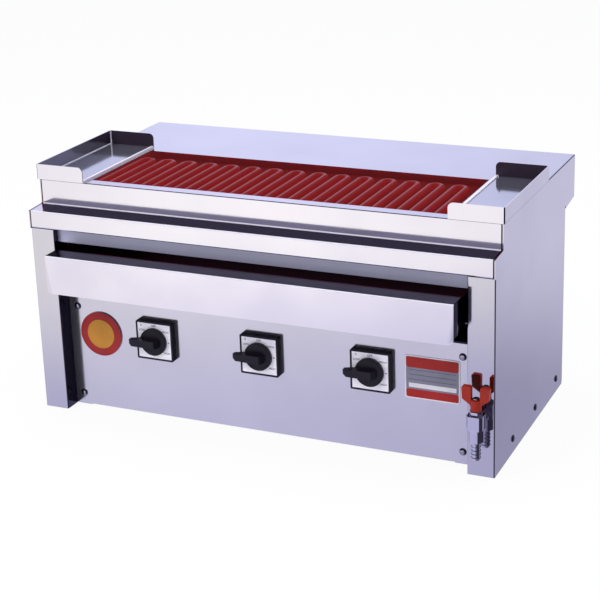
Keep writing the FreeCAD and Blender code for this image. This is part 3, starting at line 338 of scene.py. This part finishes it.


# The polished steel comes as lit and shaded copies of one material: front, drawer and tray are
# the bright copies, panel, leg and side are darker ones (painted shade), and deck is a bluer
# one (painted reflection).
finishes = {
    "front": polishedSteel("steel_front", (0.96, 0.94, 0.96), (0.93, 0.91, 0.94), 0.10),
    "drawer": polishedSteel("steel_drawer", (0.98, 0.95, 0.99), (0.92, 0.89, 0.95), 0.13),
    "panel": satinSteel("steel_panel_painted_shade", (0.80, 0.79, 0.83), 0.93, 0.15),
    "leg": polishedSteel("steel_leg_painted_shade", (0.76, 0.75, 0.78), (0.71, 0.70, 0.74), 0.07),
    # rail: bluish satin, a painted reflection of the band under the apron.
    "rail": satinSteel("steel_rail_painted_reflection", (0.56, 0.57, 0.72), 0.55, 0.34),
    # shade: a near-black copy of the polished steel, used as painted shade, painted shadow
    # lines and painted dark reflection.
    "shade": polishedSteel("steel_painted_shade", (0.10, 0.09, 0.14), (0.06, 0.05, 0.09), 0.12),
    "side": polishedSteel("steel_side_painted_shade", (0.79, 0.78, 0.81), (0.73, 0.72, 0.76), 0.15),
    "deck": polishedSteel("steel_deck_painted_reflection", (0.86, 0.87, 0.95), (0.77, 0.78, 0.87), 0.14),
    # hem: bright satin, a painted highlight on hems and folds.
    "hem": satinSteel("steel_painted_highlight", (0.90, 0.88, 0.94), 0.3, 0.3),
    # Tray inside: the floor is a duller, bluer copy (painted shade and painted reflection),
    # the walls a darker copy (painted shade), and the rear wall near-black (painted dark
    # reflection).
    "trayFloor": satinSteel("steel_tray_floor_painted_shade", (0.66, 0.69, 0.80), 0.92, 0.10),
    "trayWall": polishedSteel("steel_tray_wall_painted_shade", (0.88, 0.86, 0.92), (0.78, 0.76, 0.84), 0.10),
    "trayRear": satinSteel("steel_tray_rear_painted_reflection", (0.042, 0.029, 0.046), 0.3, 0.35),
    "tray": polishedSteel("steel_tray", (0.98, 0.96, 0.98), (0.93, 0.91, 0.95), 0.08),
    "inner": plainSteel("steel_inner", (0.30, 0.28, 0.30), (0.22, 0.19, 0.20)),
    # flange: a dark copy of the steel, with painted shade and painted dark reflection.
    "flange": polishedSteel("steel_flange_painted_shade", (0.22, 0.20, 0.24), (0.19, 0.17, 0.21), 0.13),
    # pan: a near-black base for the steel, painted shade inside the drawer bay.
    "pan": plainSteel("steel_pan_painted_shade", (0.05, 0.06, 0.09), (0.03, 0.04, 0.06), 0.45),
    "hot": hotTube("heater_sheath", (0.03, 0.004, 0.004), (0.20, 0.009, 0.010), 0.22),
    # liner: the liner, the support bars and the fire opening's sides glow with painted light,
    # red emission standing in for the heaters' light falling on them.
    "liner": hotTube("liner_lit_red", (0.05, 0.010, 0.010), (0.125, 0.009, 0.010), 0.4),
    "ceramic": moulded("bead_ceramic", (0.72, 0.66, 0.55), 0.6),
    "link": plainSteel("link_brass", (0.60, 0.42, 0.18), (0.42, 0.27, 0.10), 0.35),
    "black": moulded("switch_black", (0.009, 0.007, 0.013), 0.38),
    "grey": moulded("switch_grey", (0.10, 0.10, 0.11), 0.5),
    "dial": moulded("dial_white", (0.80, 0.78, 0.86), 0.4, 0.01 * mm),
    "ink": moulded("dial_ink", (0.012, 0.012, 0.02), 0.5, 0.01 * mm),
    "shaft": plainSteel("shaft_steel", (0.42, 0.42, 0.44), (0.36, 0.36, 0.38), 0.3),
    "red": enamel("handle_red", (0.30, 0.022, 0.010)),
    "chrome": polishedSteel("cock_chrome", (0.84, 0.84, 0.92), (0.76, 0.75, 0.84), 0.06),
    "badgeRed": enamel("badge_red", (0.34, 0.022, 0.022)),
    "badgeOchre": enamel("badge_ochre", (0.52, 0.23, 0.030)),
    "plateRed": enamel("plate_red", (0.40, 0.022, 0.018)),
    "plateGrey": enamel("plate_grey", (0.24, 0.24, 0.31)),
    "plateWhite": enamel("plate_white", (0.80, 0.78, 0.82)),
    # screw: a darkened copy of the steel, a painted dark reflection on the domes.
    "screw": polishedSteel("screw_steel", (0.46, 0.44, 0.50), (0.40, 0.38, 0.45), 0.08),
}
print("materials made")

# Sheets and fittings: the finish, then the widths of the folds and of the broken edges in
# millimetres.
fittings = {
    "top_cover": ("deck", 1.2, 0),
    "front_fascia": ("front", 1.2, 0),
    "side_panel_left": ("leg", 1.2, 0),
    "side_panel_right": ("leg", 1.2, 0),
    "control_panel": ("panel", 1.2, 0),
    "header_rail": ("rail", 1.2, 0),
    "drawer_pan": ("pan", 0, 0.2),
    "drain_pan": ("pan", 0, 0.2),
    "firebox_liner": ("liner", 0, 0),
    "heating_elements": ("hot", 0, 0),
    "support_bar_front": ("liner", 0, 0.3),
    "support_bar_rear": ("liner", 0, 0.3),
    "valve_body": ("chrome", 0, 0.9),
    "valve_bonnet": ("chrome", 0, 0.5),
    "outlet_nut": ("chrome", 0, 0.9),
    "inlet_nut": ("chrome", 0, 0.9),
    "hose_barb": ("chrome", 0, 0.15),
    "valve_handle": ("red", 0, 1.2),
    "handle_screw": ("screw", 0, 0.5),
    "panel_screws": ("screw", 0, 0.3),
    "side_screws": ("screw", 0, 0.3),
    "rear_screws": ("screw", 0, 0.3),
    "cable_gland": ("black", 0, 0.5),
}
for number in (1, 2, 3):
    fittings["escutcheon_%d" % number] = ("black", 0, 0.7)
    fittings["dial_plate_%d" % number] = ("dial", 0, 0.1)
pieces = {}
for node, (finish, fold, edge) in fittings.items():
    pieces[node] = finishedCopy(node, finishes[finish], fold, edge)

# Knobs: the end of the lever narrows to a blunt point.
lever = {"edge": 1.1, "end": 0.5 * mm, "slope": 8 * mm, "tip": 0.55, "shoulder": 0.86,
         "near": 0.01 * mm}


def taperLever(piece):
    low, high = (Vector(corner) for corner in (piece.bound_box[0], piece.bound_box[6]))
    height = (low.z + high.z) / 2
    for start, end, share in ((0, lever["end"], lever["tip"]),
                              (lever["end"], lever["slope"], lever["shoulder"])):
        selectParts(piece, "VERT",
                    lambda point: start <= point.co.x - low.x + lever["near"] < end)
        bpy.ops.transform.resize(value=(1, 1, share), center_override=(low.x, low.y, height))
        bpy.ops.object.mode_set(mode="OBJECT")


for number in (1, 2, 3):
    node = "knob_%d" % number
    pieces[node] = finishedCopy(node, finishes["black"], 0, lever["edge"], taperLever)

# Cabinet sheets: the sides mirror another part of the room than the front does, and that
# difference is painted, as are the dark and bright lines below.
cabinet = {"returns": 345 * mm, "deckEdge": (-2 * mm, -0.2 * mm), "deckEdgeUp": 0.1 * mm}


def finishCabinet():
    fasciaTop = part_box("front_fascia")[1]
    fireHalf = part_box("end_tray_right")[0].x
    edgeFront, edgeRear = (fasciaTop.y + step for step in cabinet["deckEdge"])
    edgeLow = fasciaTop.z + cabinet["deckEdgeUp"]
    for node in ("side_panel_left", "side_panel_right"):
        # Painted shade: faces turned sideways get a darker copy of the steel.
        finishWhere(pieces[node], finishes["side"], sideways)
        # Painted dark reflection: the legs' inner returns get the near-black shade finish.
        finishWhere(pieces[node], finishes["shade"],
                    lambda normal, place: sideways(normal, place)
                    and abs(place.x) < cabinet["returns"])
    # Painted shade on the deck's sideways faces as well.
    finishWhere(pieces["top_cover"], finishes["side"], sideways)
    # Painted glow: the fire opening's side faces get the liner's red light.
    finishWhere(pieces["top_cover"], finishes["liner"],
                lambda normal, place: sideways(normal, place) and abs(place.x) < fireHalf)
    # Painted shadow line along the deck's front edge, above the fascia.
    finishWhere(pieces["top_cover"], finishes["shade"],
                lambda normal, place: normal.y < -turned and edgeFront < place.y < edgeRear
                and place.z > edgeLow)
    # Painted highlight line on the fascia's upper fold.
    finishWhere(pieces["front_fascia"], finishes["hem"], upFront)


finishCabinet()

# End trays: their inside, the bright hem along the fire and the dark lines round the foot, all
# painted light: darker and near-black copies of the steel on the sides and inside (painted
# shade and painted reflection), painted highlights on the hem and the inner folds, and painted
# shadow lines round the foot.
tray = {"fold": 1.4, "narrow": 4.6, "floorHigh": 2.2 * mm, "rearDeep": 2.5 * mm,
        "hem": 5 * mm, "hemHigh": 3.2 * mm, "seam": 4 * mm, "seamHigh": 5 * mm,
        "upward": 0.1, "corner": 0.2}


def makeTray(node):
    low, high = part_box(node)
    fireSide, outside = sorted((abs(low.x), abs(high.x)))
    floorTop = low.z + tray["floorHigh"]

    def walls(normal, place):
        within = low.y + wall - slack < place.y < high.y - wall + slack
        return (normal.z < tray["upward"] and place.z > floorTop and within
                and abs(place.x) < outside - wall + slack)

    def rear(normal, place):
        facing = normal.y < -square and place.z > floorTop
        return facing and high.y - tray["rearDeep"] < place.y < high.y - wall + slack

    def hem(normal, place):
        return abs(place.x) < fireSide + tray["hem"] and place.z < low.z + tray["hemHigh"]

    # The rounded folds inside the corners and along the outer wall, given a painted highlight.
    def seam(normal, place):
        foot = turned < normal.z < square and place.z < low.z + tray["seamHigh"]
        upright = (abs(normal.x) > tray["corner"] and abs(normal.y) > tray["corner"]
                   and abs(normal.z) < tray["corner"])
        inward = place.x * normal.x < 0
        return abs(place.x) > outside - tray["seam"] and inward and (foot or upright)

    # The outward folds along the foot and up the corners: painted shadow where sheet meets
    # sheet.
    def paintedShadowLine(normal, place):
        foot = normal.z < -turned and place.z < floorTop
        corner = (place.x * normal.x > 0 and abs(normal.x) > turned
                  and abs(normal.y) > turned)
        return (foot or corner) and (place.y < low.y + wall or abs(place.x) > outside - wall)

    piece = finishedCopy(node, finishes["tray"], tray["fold"], 0, narrow=tray["narrow"])
    pieces[node] = piece
    finishWhere(piece, finishes["side"], sideways)
    finishWhere(piece, finishes["trayFloor"],
                lambda normal, place: normal.z > square and place.z < floorTop)
    finishWhere(piece, finishes["trayWall"], walls)
    finishWhere(piece, finishes["trayRear"], rear)
    finishWhere(piece, finishes["hem"], hem)
    finishWhere(piece, finishes["hem"], seam)
    finishWhere(piece, finishes["shade"], paintedShadowLine)


for node in ("end_tray_left", "end_tray_right"):
    makeTray(node)

# Drawer front: its top flange reaches further back than its side returns. The flange and the
# side returns get painted shade, and the fold along the top a painted highlight line.
drawer = {"fold": 1.2, "flange": 16 * mm, "foldHigh": 6.5 * mm}


def makeDrawerFront():
    low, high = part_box("drawer_front")
    flangeLow = high.z - wall - slack

    def deepenFlange(piece):
        selectParts(piece, "VERT", lambda point: point.co.y > high.y - 2 * slack
                    and point.co.z > flangeLow)
        bpy.ops.transform.translate(value=(0, drawer["flange"], 0))
        bpy.ops.object.mode_set(mode="OBJECT")

    piece = finishedCopy("drawer_front", finishes["drawer"], drawer["fold"], 0, deepenFlange)
    pieces["drawer_front"] = piece
    finishWhere(piece, finishes["flange"],
                lambda normal, place: place.z > flangeLow and place.y > low.y + wall)
    finishWhere(piece, finishes["hem"],
                lambda normal, place: upFront(normal, place)
                and place.z > high.z - drawer["foldHigh"])
    finishWhere(piece, finishes["shade"], sideways)


makeDrawerFront()

print("sheets and fittings finished:", len(pieces))

# Nodes that are shown as they come from the CAD.
plainNodes = {
    "base_plate": "inner", "rear_panel": "panel", "bay_wall_left": "inner",
    "bay_wall_right": "inner", "drawer_runner_left": "inner", "drawer_runner_right": "inner",
    "terminal_insulators": "ceramic", "terminal_links": "link", "valve_plug": "chrome",
    "valve_stem": "chrome", "drain_pipe": "inner", "terminal_block": "grey",
    "gland_nut": "black",
}
for number in (1, 2, 3):
    plainNodes["knob_shaft_%d" % number] = "shaft"
    plainNodes["switch_body_%d" % number] = "grey"
for node, finish in plainNodes.items():
    dress(frame["nodes"][node], finishes[finish])

# Badge: a red ring round an ochre field, both bare. The field and the rim are shares of the
# radius, the dish is a share of the step and the bend is in degrees.
badge = {"field": 0.66, "step": 0.6 * mm, "rim": 0.05, "dish": 0.6, "edge": 0.25 * mm,
         "bend": 30, "sides": 96, "flank": 0.2}


def makeBadge():
    low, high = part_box("emblem_disc")
    middle = (low + high) / 2
    radius = (high.x - low.x) / 2
    made = []
    for name, outer, front, finish in (
            ("badge_ring", radius, low.y, "badgeRed"),
            ("badge_field", radius * badge["field"], low.y - badge["step"] / 2, "badgeOchre")):
        depth = high.y - front
        bpy.ops.mesh.primitive_cylinder_add(vertices=badge["sides"], radius=outer, depth=depth,
                                            location=(middle.x, front + depth / 2, middle.z),
                                            rotation=(math.pi / 2, 0, 0))
        piece = settle(bpy.context.object)
        piece.name = name
        selectParts(piece, "FACE", lambda face: face.normal.y < -square)
        bpy.ops.mesh.inset(thickness=outer * badge["rim"], depth=0)
        bpy.ops.mesh.inset(thickness=badge["step"], depth=-badge["step"] * badge["dish"])
        bpy.ops.object.mode_set(mode="OBJECT")
        applyModifier(piece, "BEVEL", width=badge["edge"], segments=2, limit_method="ANGLE",
                      angle_limit=math.radians(badge["bend"]))
        smooth(piece)
        dress(piece, finishes[finish])
        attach(piece, "cabinet")
        made.append(piece)
    finishWhere(made[0], finishes["chrome"], lambda normal, place: normal.y > -badge["flank"])
    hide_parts("emblem_disc")


makeBadge()

# Rating plate: framed bands and fields, all bare. Heights are shares of the plate's.
plate = {
    "border": 2.0 * mm, "raise": 0.25 * mm, "sunk": 0.1 * mm, "edge": 0.08 * mm,
    "corner": 4 * mm, "bandCorner": 2.4 * mm, "middleCorner": 0.3 * mm, "cornerSteps": 5,
    "bend": 60, "topBand": 0.25, "lowBand": 0.19, "left": 0.05, "right": 0.04,
    "fieldHigh": 0.10, "fieldUp": 0.4, "fieldCorner": 0.5 * mm,
    "lines": 3, "lineStart": 0.75, "lineHigh": 0.5 * mm, "lineCorner": 0.1 * mm,
}


# A flat block with rounded corners: across, up and deep are where it starts and ends.
def slab(name, across, up, deep, finish, corner):
    spans = (across, deep, up)
    bpy.ops.mesh.primitive_cube_add(size=1, location=[(a + b) / 2 for a, b in spans],
                                    scale=[b - a for a, b in spans])
    piece = settle(bpy.context.object)
    piece.name = name

    def isCorner(edge):
        first, second = (piece.data.vertices[index].co for index in edge.vertices)
        return abs(first.y - second.y) > (deep[1] - deep[0]) / 2

    selectParts(piece, "EDGE", isCorner)
    bpy.ops.mesh.bevel(offset=corner, segments=plate["cornerSteps"], affect="EDGES")
    bpy.ops.object.mode_set(mode="OBJECT")
    applyModifier(piece, "BEVEL", width=plate["edge"], segments=1, limit_method="ANGLE",
                  angle_limit=math.radians(plate["bend"]))
    smooth(piece)
    dress(piece, finishes[finish])
    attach(piece, "cabinet")
    return piece


def makePlate():
    low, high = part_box("rating_plate")
    wide = high.x - low.x
    tall = high.z - low.z
    base = slab("plate_base", (low.x, high.x), (low.z, high.z), (low.y, high.y), "plateWhite",
                plate["corner"])
    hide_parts("rating_plate")
    inside = (low.x + plate["border"], high.x - plate["border"])
    bottom, top = low.z + plate["border"], high.z - plate["border"]
    topBand = top - tall * plate["topBand"]
    lowBand = bottom + tall * plate["lowBand"]
    front = low.y - plate["raise"]
    deep = (front, low.y + plate["sunk"])
    slab("plate_band_top", inside, (topBand, top), deep, "plateRed", plate["bandCorner"])
    slab("plate_band_low", inside, (bottom, lowBand), deep, "plateRed", plate["bandCorner"])
    slab("plate_middle", inside, (lowBand, topBand), deep, "plateGrey", plate["middleCorner"])
    text = (inside[0] + wide * plate["left"], inside[1] - wide * plate["right"])
    textDeep = (front - plate["edge"], front + plate["sunk"])
    field = tall * plate["fieldHigh"]
    fieldLow = lowBand + field * plate["fieldUp"]
    fieldTop = lowBand + field * (plate["fieldUp"] + 1)
    slab("plate_field", text, (fieldLow, fieldTop), textDeep, "plateWhite",
         plate["fieldCorner"])
    spare = topBand - lowBand - field * (plate["fieldUp"] + 1)
    pitches = plate["lines"] + 1 - plate["lineStart"]
    for row in range(plate["lines"]):
        level = fieldTop + spare * (row + plate["lineStart"]) / pitches
        slab("plate_line_%d" % (row + 1), text, (level, level + plate["lineHigh"]), textDeep,
             "ink", plate["lineCorner"])


makePlate()
print("badge and plate made")

# Dial words and marks: each word's text, place as a share of the dial's half, and size in mm.
dial = {
    "thick": 0.12 * mm,
    "markWide": 3.0 * mm,
    "markHigh": 1.3 * mm,
    "markEdge": 0.1 * mm,
    "markOut": 0.88,
    "words": (("0", -0.78, 0.86, 5.0), ("LOW", -0.74, 0.58, 4.6), ("OFF", 0.0, 0.87, 4.6),
              ("MIDDLE", 0.70, 0.60, 3.5), ("HIGH", 0.74, -0.64, 4.4)),
}


def makeWords():
    low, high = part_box("dial_plate_1")
    middle = (low + high) / 2
    reach = (high.x - low.x) / 2
    made = []
    for word, across, up, size in dial["words"]:
        bpy.ops.object.text_add(location=(middle.x + reach * across, low.y - dial["thick"] / 2,
                                          middle.z + reach * up),
                                rotation=(math.pi / 2, 0, 0))
        text = bpy.context.object
        text.data.body = word
        text.data.size = size * mm
        text.data.align_x = "CENTER"
        text.data.align_y = "CENTER"
        text.data.extrude = dial["thick"]
        only(text)
        bpy.ops.object.convert(target="MESH")
        made.append(settle(bpy.context.object))
    for side in (-1, 1):
        bpy.ops.mesh.primitive_cube_add(
            size=1, scale=(dial["markWide"], dial["thick"] * 2, dial["markHigh"]),
            location=(middle.x + reach * dial["markOut"] * side, low.y, middle.z))
        mark = settle(bpy.context.object)
        applyModifier(mark, "BEVEL", width=dial["markEdge"], segments=1)
        made.append(mark)
    bpy.ops.object.select_all(action="DESELECT")
    for piece in made:
        piece.select_set(True)
    bpy.context.view_layer.objects.active = made[0]
    bpy.ops.object.join()
    words = bpy.context.object
    words.name = "dial_words_1"
    dress(words, finishes["ink"])
    copies = [words]
    for number in (2, 3):
        twin = words.copy()
        twin.data = words.data.copy()
        twin.name = "dial_words_%d" % number
        bpy.context.scene.collection.objects.link(twin)
        twin.location = middleOf("dial_plate_%d" % number) - middle
        copies.append(settle(twin))
    for piece in copies:
        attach(piece, "cabinet")


makeWords()
print("dial words made")

# Camera, fitted to the photograph: degrees, metres, and the lens as pixels of focal length.
photoCamera = {
    "lensPixels": 1575.0,
    "framePixels": 600.0,
    "sensor": 36.0,
    "place": (0.975, -2.1424, 1.0237),
    "turn": 24.55,
    "tip": 17.98,
    "roll": -1.914,
    "shift": -0.1,
}


def makeCamera():
    data = bpy.data.cameras.new("photo_camera")
    camera = bpy.data.objects.new("photo_camera", data)
    bpy.context.scene.collection.objects.link(camera)
    data.sensor_width = photoCamera["sensor"]
    data.lens = photoCamera["lensPixels"] / photoCamera["framePixels"] * data.sensor_width
    data.shift_y = photoCamera["shift"]
    camera.location = photoCamera["place"]
    turn, tip, roll = (math.radians(photoCamera[key]) for key in ("turn", "tip", "roll"))
    ahead = Vector((-math.sin(turn) * math.cos(tip), math.cos(turn) * math.cos(tip),
                    -math.sin(tip)))
    camera.rotation_mode = "QUATERNION"
    camera.rotation_quaternion = (ahead.to_track_quat("-Z", "Y")
                                  @ Euler((0, 0, roll)).to_quaternion())
    bpy.context.scene.camera = camera


# Floor: white to the camera apart from a soft shadow, and no mirror shows it.
ground = {"wide": 12.0, "white": 0.94, "colour": (0.88, 0.88, 0.90), "rough": (0.66, 0.74)}


def maths(tree, operation, first, second):
    node = tree.nodes.new("ShaderNodeMath")
    node.operation = operation
    for socket, value in zip(node.inputs, (first, second)):
        if isinstance(value, (int, float)):
            socket.default_value = value
        else:
            tree.links.new(value, socket)
    return node.outputs["Value"]


def makeFloor():
    bpy.ops.mesh.primitive_plane_add(size=ground["wide"], location=(0, 0, 0))
    floor = bpy.context.object
    floor.name = "studio_floor"
    finish, tree, shader, place = newFinish("studio_floor", ground["colour"], 0.0, 0.7)
    speck = noise(tree, place, scale=3.0)
    tree.links.new(spread(tree, speck, *ground["rough"]), shader.inputs["Roughness"])
    rays = tree.nodes.new("ShaderNodeLightPath")
    glow = tree.nodes.new("ShaderNodeEmission")
    mix = tree.nodes.new("ShaderNodeMixShader")
    tree.links.new(maths(tree, "MULTIPLY", rays.outputs["Is Camera Ray"], ground["white"]),
                   mix.inputs["Fac"])
    tree.links.new(shader.outputs["BSDF"], mix.inputs[1])
    tree.links.new(glow.outputs["Emission"], mix.inputs[2])
    tree.links.new(mix.outputs["Shader"], tree.nodes["Material Output"].inputs["Surface"])
    dress(floor, finish)
    floor.visible_glossy = False


# Room: white for the camera. The mirrors see one like the photographer's: pale behind the
# grill and on its left, dark towards the camera and above it, half lit on the right.
# Each pair says where a side begins and where it is complete, as parts of a direction.
room = {
    "left": (0.25, -0.42),
    "farLeft": (-0.62, -0.45),
    "farLeftDrop": 0.26,
    "behind": (-0.15, 0.35),
    "above": (0.02, 0.16),
    "below": (-0.02, -0.16),
    "rightBehind": (0.3, 0.7),
    "right": (0.2, 0.55),
    "steep": (-0.315, -0.405),
    "ceiling": (0.22, 0.29),
    "white": (1.0, 1.0, 1.0),
    "back": (0.77, 0.77, 1.0),
    "dark": (0.034, 0.029, 0.052),
    "frontLow": (0.19, 0.18, 0.27),
    "corner": (0.11, 0.105, 0.155),
    "rightFar": (0.64, 0.62, 0.80),
    "rightNear": (0.35, 0.34, 0.49),
    "tableFar": (1.0, 0.97, 1.0),
    "tableNear": (0.56, 0.55, 0.79),
    "soft": (0.62, 0.62, 0.70),
}


# One side of the room, from 0 to 1, as a direction turns along an axis.
def sideOf(tree, value, start, end):
    ramp = tree.nodes.new("ShaderNodeMapRange")
    ramp.interpolation_type = "SMOOTHSTEP"
    ramp.inputs["From Min"].default_value = start
    ramp.inputs["From Max"].default_value = end
    tree.links.new(value, ramp.inputs["Value"])
    return ramp.outputs["Result"]


def makeWorld():
    world = bpy.data.worlds.new("studio")
    bpy.context.scene.world = world
    world.use_nodes = True
    tree = world.node_tree
    background = tree.nodes["Background"]
    direction = tree.nodes.new("ShaderNodeTexCoord").outputs["Generated"]
    parts = tree.nodes.new("ShaderNodeSeparateXYZ")
    tree.links.new(direction, parts.inputs["Vector"])
    x, y, z = (parts.outputs[axis] for axis in "XYZ")

    def side(value, name):
        return sideOf(tree, value, *room[name])

    def both(first, second):
        return maths(tree, "MULTIPLY", first, second)

    def colours(share, first, second):
        return mixColours(tree, share, first, second)

    pale = maths(tree, "ADD", both(side(x, "farLeft"), room["farLeftDrop"]),
                 1 - room["farLeftDrop"])
    left = both(side(x, "left"), pale)
    corner = both(side(y, "behind"), side(z, "above"))
    below = side(z, "below")
    rightWall = both(side(y, "rightBehind"), below)
    rightFront = both(side(x, "right"), sideOf(tree, y, *reversed(room["rightBehind"])))
    steep = side(z, "steep")
    colour = colours(side(z, "ceiling"), room["frontLow"], room["dark"])
    colour = colours(rightFront, colour, room["dark"])
    colour = colours(corner, colour, room["corner"])
    colour = colours(rightWall, colour, colours(steep, room["rightFar"], room["rightNear"]))
    colour = colours(both(left, below), colour,
                     colours(steep, room["tableFar"], room["tableNear"]))
    colour = colours(both(left, corner), colour, room["back"])
    rays = tree.nodes.new("ShaderNodeLightPath")
    colour = colours(rays.outputs["Is Diffuse Ray"], colour, room["soft"])
    colour = colours(rays.outputs["Is Camera Ray"], colour, room["white"])
    tree.links.new(colour, background.inputs["Color"])


# Lamps: place and aim in metres, size in metres, power in watts. No mirror shows them.
lamps = {
    "key": {"place": (-1.6, -2.2, 2.6), "aim": (0, 0, 0.2), "size": (2.2, 1.6), "power": 62,
            "colour": (1.0, 0.97, 1.0)},
    "fill": {"place": (2.6, -0.8, 1.6), "aim": (0, 0, 0.2), "size": (1.6, 1.6), "power": 18,
             "colour": (0.93, 0.90, 1.0)},
    "over": {"place": (0, 0.3, 2.4), "aim": (0, 0, 0.3), "size": (2.0, 1.4), "power": 26,
             "colour": (0.96, 0.96, 1.0)},
}


def makeLamp(name, place, aim, size, power, colour):
    data = bpy.data.lights.new(name, "AREA")
    data.shape = "RECTANGLE"
    data.size, data.size_y = size
    data.energy = power
    data.color = colour
    light = bpy.data.objects.new(name, data)
    light.location = place
    light.rotation_mode = "QUATERNION"
    light.rotation_quaternion = (Vector(aim) - Vector(place)).to_track_quat("-Z", "Y")
    light.visible_glossy = False
    light.visible_camera = False
    bpy.context.scene.collection.objects.link(light)


makeCamera()
makeFloor()
makeWorld()
for name, values in lamps.items():
    makeLamp(name, **values)
bpy.context.scene.view_settings.view_transform = "Standard"
print("stage, light and camera made")
